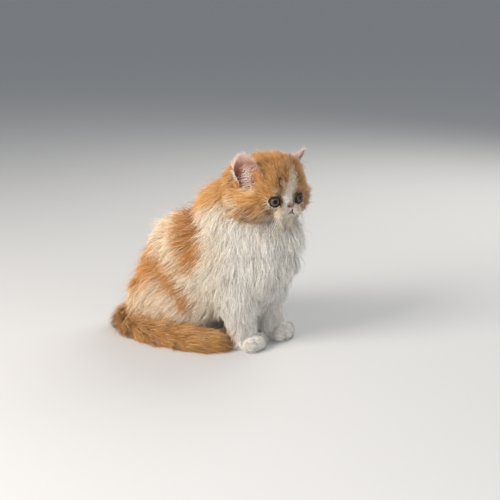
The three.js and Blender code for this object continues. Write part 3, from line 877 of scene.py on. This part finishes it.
roots = (skinCo[triVerts[chosen]] * share).sum(1)
rootNormals = unit((skinNormal[triVerts[chosen]] * share).sum(1))
rootLies = (combed[triVerts[chosen]] * share).sum(1)
rootLies[isExtra] = fromHead(np.concatenate(extraLies))
disorder = np.where(isExtra, 0.3, 0.17)[:, None]
rootLies = tangent(rootLies + disorder * random.normal(size=roots.shape), rootNormals)
rootSides = unit(np.cross(rootLies, rootNormals))
face = toHead(roots)
litNormals = rootNormals.copy()
for side, sideName in bothSides:
    # the thin fringe of each ear lets light through, so it shades as if it faced forward
    near, turned, across = earPlace(face, rootNormals, side, sideName)
    edge = near * fade(np.abs(turned), 0.3, 0.7) * smoothStep(face[:, 2], 6, 14)
    litNormals += 1.6 * edge[:, None] * fromHead(np.array([0.8, 0.4 * side, 0.45]))
litNormals = unit(litNormals)
values = (coatValues[triVerts[chosen]] * share).sum(1)
values[isExtra] = np.concatenate(extraValues)
rootUv = (skinUv[triLoops[chosen]] * share).sum(1)
hairLengths = values[:, 0] * random.uniform(np.where(isExtra, 0.4, 0.7), 1.15)
hairLengths *= 1 + 0.25 * softNoise(roots * 1.1, 2, 14)
middleOfHair = roots + rootLies * (0.5 * np.maximum(hairLengths - 4, 0))[:, None]
scatter = 1.8 + 2 * (values[:, 0] > 12)  # neighbours of two colours mix
rootColours = coatColour(middleOfHair + scatter[:, None] * random.normal(size=roots.shape), rootNormals)
rootColours[isExtra] = np.concatenate(extraColours)
paler = 0.35 * random.uniform(size=len(roots)) ** 3
rootColours += (coatColours["cream"] - rootColours) * paler[:, None]
rootColours *= (1 + 0.15 * random.normal(size=len(roots)))[:, None].clip(0.6, 1.3)
onBack = fade(roots[:, 0], 0, 40) * smoothStep(roots[:, 2], 50, 70)
layered = (9 + 5 * onBack) * softNoise(roots, 0, 7) * np.clip(values[:, 0] / 15, 0.3, 1)
stray = (random.uniform(size=len(roots)) < coat["stray"]) & (roots[:, 2] > 30)
layered += (16 + 12 * onBack) * stray
layered = np.minimum(layered + coat["unruly"] * random.normal(size=len(roots)), coat["mostLift"])
liftRoot = np.radians(values[:, 1] + layered)
liftTip = np.radians(values[:, 2] + layered + coat["unruly"] * random.normal(size=len(roots)))


def hairLines(segments, pick):
    # the middle line of each hair: it rises from the skin, bends over along its lie and waves
    steps = (np.arange(segments) + 0.5) / segments
    lift = liftRoot[pick, None] + (liftTip[pick] - liftRoot[pick])[:, None] * steps
    along = rootLies[pick, None, :] * np.cos(lift)[..., None]
    run = along + rootNormals[pick, None, :] * np.sin(lift)[..., None]
    run *= hairLengths[pick, None, None] / segments
    points = np.concatenate([np.zeros((len(pick), 1, 3)), np.cumsum(run, 1)], 1)
    sunk = np.minimum(0.5, 0.06 * hairLengths[pick])
    points += (roots[pick] - rootNormals[pick] * sunk[:, None])[:, None, :]
    steps = np.linspace(0, 1, segments + 1)
    phase = random.uniform(0, 2 * np.pi, (len(pick), 1))
    sway = np.sin(phase + 5 * steps) * steps * (coat["curl"] * hairLengths[pick, None] / 26)
    sway += steps**2 * (coat["bend"] * softNoise(roots[pick] * 1.2, 2, 13) * hairLengths[pick])[:, None]
    return points + rootSides[pick, None, :] * sway[..., None]


def gather(points, pick, share, strength):
    # hairs lean towards the nearest leading hair, more so near their tips
    leaders = random.choice(len(pick), max(2, int(len(pick) * share)), replace=False)
    near = nearTree(roots[pick[leaders]])
    leading = leaders[[near.find(place)[1] for place in roots[pick]]]
    steps = np.linspace(0, 1, points.shape[1])[None, :, None] ** 1.2
    pull = strength * random.uniform(0.4, 1.2, (len(pick), 1, 1)) * ~stray[pick, None, None]
    return points + (points[leading] - points) * steps * pull


def strandShape(segments):
    # corners of one three-sided hair: rings from its root and one point at its tip
    tip = segments * 3
    sides = [[r * 3 + (k + 1) % 3, r * 3 + k, r * 3 + k + 3, r * 3 + (k + 1) % 3 + 3]
             for r in range(segments - 1) for k in range(3)]
    ends = [[tip - 3 + (k + 1) % 3, tip - 3 + k, tip] for k in range(3)] + [[0, 1, 2]]
    along = np.append(np.repeat(np.arange(segments) / segments, 3), 1.0)
    around = np.append(np.tile([0.0, 0.5, 1.0], segments), 0.5)
    return sides + ends, along, around


def hairPiece(name, slotName, pick, segments, clump, lock):
    points = gather(hairLines(segments, pick), pick, coat["lockShare"], lock)
    points = gather(points, pick, coat["clumpShare"], clump)
    points[..., 2] = np.maximum(points[..., 2], 0.3)
    faces, along, around = strandShape(segments)
    corner = np.radians([90, 210, 330])[None, :, None]
    out = rootSides[pick, None, :] * np.cos(corner) + rootNormals[pick, None, :] * np.sin(corner)
    radius = 0.5 * coat["rootWidth"] * (0.75 + 0.25 * np.clip(hairLengths[pick] / 20, 0, 1.2))
    radius *= np.where(isExtra[pick], 0.6, 1)
    taper = (1 - np.arange(segments) / segments) ** 0.6
    rings = points[:, :-1, None, :] + out[:, None] * (radius[:, None] * taper)[:, :, None, None]
    verts = np.concatenate([rings.reshape(len(pick), -1, 3), points[:, -1:, :]], 1)
    loops = np.concatenate(faces)
    sizes = np.array([len(face) for face in faces])
    firstVerts = (np.arange(len(pick)) * len(along))[:, None]
    firstLoops = (np.arange(len(pick)) * len(loops))[:, None]
    allLoops = (loops + firstVerts).ravel()
    mesh = bpy.data.meshes.new(name)
    mesh.vertices.add(len(pick) * len(along))
    mesh.vertices.foreach_set("co", verts.ravel())
    mesh.loops.add(len(allLoops))
    mesh.loops.foreach_set("vertex_index", allLoops)
    mesh.polygons.add(len(pick) * len(sizes))
    mesh.polygons.foreach_set("loop_start", (np.cumsum(sizes) - sizes + firstLoops).ravel())
    mesh.update(calc_edges=True)
    patch = np.stack([around - 0.5, along - 0.5], 1) * 0.003
    uvs = (rootUv[pick][:, None, :] + patch).reshape(-1, 2)
    mesh.uv_layers.new(name="OFBake").data.foreach_set("uv", uvs[allLoops].ravel())
    # each hair is painted darker towards its root: painted shade deep in the coat
    colours = np.clip(rootColours[pick][:, None, :] * (0.66 + 0.44 * along)[None, :, None], 0, 0.95)
    paint = mesh.color_attributes.new("coat", "FLOAT_COLOR", "POINT")
    paint.data.foreach_set("color", np.insert(colours, 3, 1, axis=2).ravel())
    mesh.transform(bodyPlace)
    mesh.shade_smooth()
    lit = litNormals[pick, None, :]
    soft = np.concatenate([np.tile(out * 0.55 + lit * 0.75, (1, segments, 1)), lit], 1)
    mesh.normals_split_custom_set_from_vertices(unit(soft).reshape(-1, 3))
    mesh.materials.append(woollyHair)
    finishPiece(addObject(name, mesh), slotName)
    print(name, len(pick), "hairs,", len(pick) * (segments * 6 - 2), "triangles")


# The coat is split where a piece would have too many faces
onHead = np.linalg.norm(face / (skullHalf + 5), axis=1) < 1.08
onHead |= (face[:, 2] > 5) & (np.abs(face[:, 1]) > 20) & (face[:, 0] > 2)
short = (values[:, 0] < 8.5) & ~isExtra
onTail = (gaps(roots, middleLine(forms["tail"], 40)).min(1) < 9.5) & (roots[:, 2] < 24)
onBody = ~onHead & ~onTail & ~short
height = roots[:, 2]
borders = {"neck": 118, "back": 74, "flanks": 42, "chest": 52}  # lowest heights, and least x of the chest
trunk = onBody & (height <= borders["neck"])
rear = trunk & (roots[:, 0] <= borders["chest"])
hips = rear & (height <= borders["flanks"])
# segments of each hair, and how far it leans to its clump and its lock
fineHair, tailHair, longHair, looseHair = (2, 0.3, 0.1), (3, 0.3, 0.1), (3, 0.42, 0.45), (3, 0.3, 0)
regions = {
    "fur_face": (onHead & short & (face[:, 0] > 16), "coat_orange", fineHair),
    "fur_crown": (onHead & short & (face[:, 0] <= 16), "coat_orange", fineHair),
    "fur_cheeks": (onHead & ~short & (face[:, 2] < 0) & ~isExtra, "coat_orange", longHair),
    "fur_head": (onHead & ~short & (face[:, 2] >= 0) & ~isExtra, "coat_orange", longHair),
    "fur_wisps": (isExtra, "coat_white", looseHair),
    "fur_tail": (onTail, "coat_orange", tailHair),
    "fur_feet": (~onHead & ~onTail & short, "coat_white", fineHair),
    "fur_neck": (onBody & (height > borders["neck"]), "coat_white", longHair),
    "fur_chest": (trunk & (roots[:, 0] > borders["chest"]), "coat_white", longHair),
    "fur_back": (rear & (height > borders["back"]), "coat_orange", longHair),
    "fur_flanks": (rear & (height <= borders["back"]) & ~hips, "coat_white", longHair),
    "fur_hips_left": (hips & (roots[:, 1] > 0), "coat_orange", longHair),
    "fur_hips_right": (hips & (roots[:, 1] <= 0), "coat_orange", longHair),
}
for name, (mask, slotName, hair) in regions.items():
    hairPiece(name, slotName, np.nonzero(mask)[0], *hair)


# Wet eye: a dark ring round a grey-brown iris under a clear, glossy front
eyeColours = {
    "pupil": "#020201",
    "irisPale": "#6d6155",
    "iris": "#3a3129",
    "irisRim": "#241b14",
    "edge": "#140d09",
}
eyeRings = [  # where each colour is reached, as a share of the way from the middle to the side
    (0.27, "pupil"), (0.3, "irisPale"), (0.36, "iris"),
    (0.47, "irisPale"), (0.56, "irisRim"), (0.67, "edge")]
eyeMaterial, tree, where = newMaterial("wet eye")
paint = addNode(tree, "ShaderNodeAttribute", {"attribute_name": "gaze"})
fibres = addNoise(tree, where, 1500, 3)  # 0.7 mm fibres
uneven = addNode(tree, "ShaderNodeMath", {"operation": "MULTIPLY_ADD"}, {
    0: fibres.outputs["Fac"], 1: 0.06, 2: paint.outputs["Fac"]})
radial = addNode(tree, "ShaderNodeValToRGB", inputs={"Fac": uneven.outputs["Value"]})
ramp = radial.color_ramp.elements
ramp[0].color, ramp[1].color = linear(eyeColours["pupil"]), linear(eyeColours["edge"])
for position, name in eyeRings:
    ramp.new(position).color = linear(eyeColours[name])
addSurface(tree, {
    "Base Color": radial.outputs["Color"], "Roughness": 0.5, "IOR": 1.38, "Specular IOR Level": 0.0,
    "Coat Weight": 0.7, "Coat Roughness": 0.03, "Coat IOR": 1.38})
for side, sideName in bothSides:
    bm = bmesh.new()
    addSphere(bm, 48, 32, head["eyeRadius"])
    bmesh.ops.rotate(bm, matrix=Matrix.Rotation(math.radians(90), 3, "Y"), verts=bm.verts)
    gaze = bm.verts.layers.float.new("gaze")
    for vert in bm.verts:
        off = math.hypot(vert.co.y, vert.co.z) / head["eyeRadius"]
        vert[gaze] = off if vert.co.x > 0 else 1
        if vert.co.x > 0:
            vert.co.x += 0.25 * math.exp(-((off / 0.5) ** 2))
    bmesh.ops.transform(bm, matrix=eyeFrame(side), verts=bm.verts)
    finishPiece(meshObject("eyeball_" + sideName, bm, eyeMaterial), "eye", "eye_" + sideName)


# Bare skin of the nose, lids and lips: damp, with a grain of fine pebbles
def bareSkin(name, colours, grain, roughness):
    # colours run from dark to light by the attribute "bare" of the piece
    material, tree, where = newMaterial(name)
    paint = addNode(tree, "ShaderNodeAttribute", {"attribute_name": "bare"})
    pebbles = addNode(tree, "ShaderNodeTexVoronoi", inputs={"Vector": where, "Scale": 1 / grain})
    raised = addNode(tree, "ShaderNodeBump", inputs={
        "Height": pebbles.outputs["Distance"], "Strength": 0.4, "Distance": grain * 0.3})
    addSurface(tree, {
        "Base Color": addMix(tree, paint, colours), "Roughness": roughness, "Specular IOR Level": 0.3,
        "Normal": raised.outputs["Normal"]})
    return material


noseSkin = bareSkin("damp nose leather", ("#241714", "#8c675b"), 0.0006, 0.45)  # pink, with painted shade in the nostrils and the crease
rimSkin = bareSkin("dark lid skin", ("#170e09", "#2a1b12"), 0.0007, 0.6)  # outlines the eye
lipSkin = bareSkin("soft lip skin", ("#4f3a32", "#6a5046"), 0.0007, 0.6)  # a quiet grey-brown line
for side, sideName in bothSides:
    bm = bmesh.new()
    bmesh.ops.create_circle(bm, segments=8, radius=1)
    bmesh.ops.rotate(bm, matrix=Matrix.Rotation(math.radians(90), 3, "X"), verts=bm.verts)
    bmesh.ops.scale(bm, vec=(lids["rim"], lids["rim"], lids["rim"]), verts=bm.verts)
    bmesh.ops.translate(bm, vec=(10, 0, 0), verts=bm.verts)
    bmesh.ops.spin(bm, geom=bm.edges[:], axis=(0, 0, 1), cent=(0, 0, 0), angle=2 * math.pi,
                   steps=48, use_merge=True)
    bare = bm.verts.layers.float.new("bare")
    for vert in bm.verts:
        around, off, rise = math.atan2(vert.co.y, vert.co.x), vert.co.xy.length - 10, vert.co.z
        inner = max(0, -side * math.cos(around)) ** 6  # the tear corner runs out to a point
        outer = max(0, side * math.cos(around + 0.35 * side)) ** 8  # the outer corner is higher
        off *= 0.7 + 0.9 * max(0, math.sin(around + 0.5 * side)) + 0.5 * inner
        y = (lids["halfWidth"] + off + 1.6 * inner + 0.9 * outer) * math.cos(around)
        half = lids["upper"] if around > 0 else lids["lower"]
        z = (half + off) * math.sin(around) - 0.8 * inner + side * lids["slant"] * y
        x = math.sqrt(max(1, (head["eyeRadius"] + 0.25) ** 2 - y * y - z * z)) + 0.45 * rise
        vert[bare] = 0.5 + 0.5 * rise
        vert.co = (x, y, z)
    bmesh.ops.recalc_face_normals(bm, faces=bm.faces[:])
    bmesh.ops.transform(bm, matrix=eyeFrame(side), verts=bm.verts)
    finishPiece(meshObject("lid_rim_" + sideName, bm, rimSkin), "nose_leather")


def addStrand(bm, path, rootRadius, tipRadius, sides=6, cuts=12):
    # a rod bent along a line in the head's own place
    rod = bmesh.new()
    bmesh.ops.create_cone(rod, cap_ends=True, segments=sides, depth=1, radius1=rootRadius,
                          radius2=tipRadius)
    upright = [edge for edge in rod.edges if abs(edge.verts[0].co.z - edge.verts[1].co.z) > 0.5]
    bmesh.ops.subdivide_edges(rod, edges=upright, cuts=cuts)
    for vert in rod.verts:
        share = vert.co.z + 0.5
        way = Vector(curveAt(path, share + 0.02) - curveAt(path, share - 0.02))
        across = way.to_track_quat("Z", "Y") @ Vector((vert.co.x, vert.co.y, 0))
        vert.co = headPlace @ (Vector(curveAt(path, share)) + across)
    bent = bpy.data.meshes.new("strand")
    rod.to_mesh(bent)
    rod.free()
    bm.from_mesh(bent)
    bpy.data.meshes.remove(bent)


bm = bmesh.new()
for path in lipPaths:
    onSkin = []
    for point in path:
        found = skinSurface.find_nearest(headPlace @ Vector(point))
        onSkin.append(tuple(headPlace.inverted() @ (found[0] + found[1] * 0.35)))
    addStrand(bm, onSkin, 0.85, 0.6, sides=8)
bm.verts.layers.float.new("bare")
finishPiece(meshObject("lips", bm, lipSkin), "nose_leather")

# Nose leather: a short wide wedge with two comma nostrils and a crease down to the lips
nose = {"centre": (40.2, 0, -12.4), "half": (2.5, 3.8, 2.5), "nostril": (0.6, 0.78, -0.1), "spread": 0.42}
bm = bmesh.new()
addSphere(bm, 48, 32)
bare = bm.verts.layers.float.new("bare")
for vert in bm.verts:
    way = vert.co.copy()
    nostril = Vector((nose["nostril"][0], math.copysign(nose["nostril"][1], way.y), nose["nostril"][2]))
    gap = way - nostril.normalized()
    dent = math.exp(-((gap.length + 0.12 * gap.z) / nose["spread"]) ** 2) if way.x > 0 else 0
    crease = math.exp(-((way.y / 0.12) ** 2)) * max(0, way.x) * (0.5 - 0.5 * way.z)
    narrow = 1 - 0.45 * max(0, -way.z) ** 1.5
    depth = 1 - 0.42 * dent - 0.16 * crease
    vert.co = (way.x * nose["half"][0] * depth, way.y * nose["half"][1] * narrow, way.z * nose["half"][2])
    # the nostril dents and the crease are painted darker: painted shade in these hollows
    vert[bare] = max(0, 1 - 1.2 * dent - 0.5 * crease)
bmesh.ops.translate(bm, vec=nose["centre"], verts=bm.verts)
bmesh.ops.transform(bm, matrix=headPlace, verts=bm.verts)
finishPiece(meshObject("nose_leather", bm, noseSkin), "nose_leather", "nose")

# Whiskers: stiff glossy white hairs that hang off the muzzle
whiskers = {
    "rows": 3,
    "inRow": 3,
    "length": 27,
    "rootRadius": 0.2,
    "tipRadius": 0.05,
    # how far along each bend lies, and the way there
    "bends": [(0.3, 0.25, 0.6, -0.45), (0.65, 0.1, 0.6, -0.75), (1, -0.05, 0.55, -0.85)],
}
whiskerMaterial, tree, where = newMaterial("glossy white whisker")
bands = addNoise(tree, where, 200, 2)  # 5 mm
addSurface(tree, {"Base Color": addMix(tree, bands, ("#f4f1ea", "#dcd6ca")), "Roughness": 0.35})
bm = bmesh.new()
for side in (1, -1):
    for row in range(whiskers["rows"]):
        for k in range(whiskers["inRow"]):
            root = Vector((38.5 - 1.8 * k, side * (7.5 + 1.4 * k), -16.5 - 2.1 * row))
            reach = whiskers["length"] * random.uniform(0.75, 1.1)
            path = [tuple(root)]
            for far, x, y, z in whiskers["bends"]:
                way = Vector((x, side * (y - 0.1 * row), z)).normalized()
                path.append(tuple(root + reach * far * way))
            addStrand(bm, path, whiskers["rootRadius"], whiskers["tipRadius"], sides=5, cuts=10)
finishPiece(meshObject("whiskers", bm, whiskerMaterial), "whisker")
print("eyes, nose, lips and whiskers set")

# Camera, floor and light
view = {
    "target": (50.3, -5.6, 97.9),
    "distance": 972,
    "azimuth": math.radians(30),
    "elevation": math.radians(15),
    "lens": 70,
    "sensor": 36,
}
level = math.cos(view["elevation"])
toCamera = Vector((math.sin(view["azimuth"]) * level, -math.cos(view["azimuth"]) * level,
                   math.sin(view["elevation"])))
camera = addObject("camera", bpy.data.cameras.new("camera"))
camera.data.lens = view["lens"]
camera.data.sensor_width = view["sensor"]
camera.data.clip_start = 0.01
camera.location = bodyPlace @ (Vector(view["target"]) + toCamera * view["distance"])
camera.rotation_euler = (-toCamera).to_track_quat("-Z", "Y").to_euler()
scene.camera = camera

# Plain paper: a soft, even ground without shine
bm = bmesh.new()
bmesh.ops.create_grid(bm, x_segments=1, y_segments=1, size=60)
floorMesh = bpy.data.meshes.new("floor")
bm.to_mesh(floorMesh)
bm.free()
floorMaterial, tree, _ = newMaterial("matt pale backdrop paper")
addSurface(tree, {"Base Color": linear("#c9cacb"), "Roughness": 0.9})
floorMesh.materials.append(floorMaterial)
floor = addObject("floor", floorMesh)

lights = {
    "key": {"place": (-0.45, -1.05, 0.8), "size": 0.7, "power": 22.5, "tint": "#fff5ea"},
    "fill": {"place": (0.95, -0.5, 0.5), "size": 0.9, "power": 1.8, "tint": "#f3f5ff"},
    "sparkle": {"place": (0.74, -1.03, 0.55), "size": 0.3, "power": 3.8, "tint": "#ffffff"},
    "back": {"place": (0.2, 0.9, 0.9), "size": 0.9, "power": 9, "tint": "#fffaf2"},
}
for name, setting in lights.items():
    lamp = bpy.data.lights.new(name, "AREA")
    lamp.size = setting["size"]
    lamp.energy = setting["power"]
    lamp.color = linear(setting["tint"])[:3]
    obj = addObject(name, lamp)
    obj.location = setting["place"]
    obj.rotation_euler = (Vector((0, 0, 0.1)) - obj.location).to_track_quat("-Z", "Y").to_euler()
world = bpy.data.worlds.new("studio")
scene.world = world
world.use_nodes = True
sky = world.node_tree.nodes["Background"].inputs
sky["Color"].default_value = linear("#dfe4ea")
sky["Strength"].default_value = 0.4
scene.view_settings.view_transform = "Standard"

print("model done")
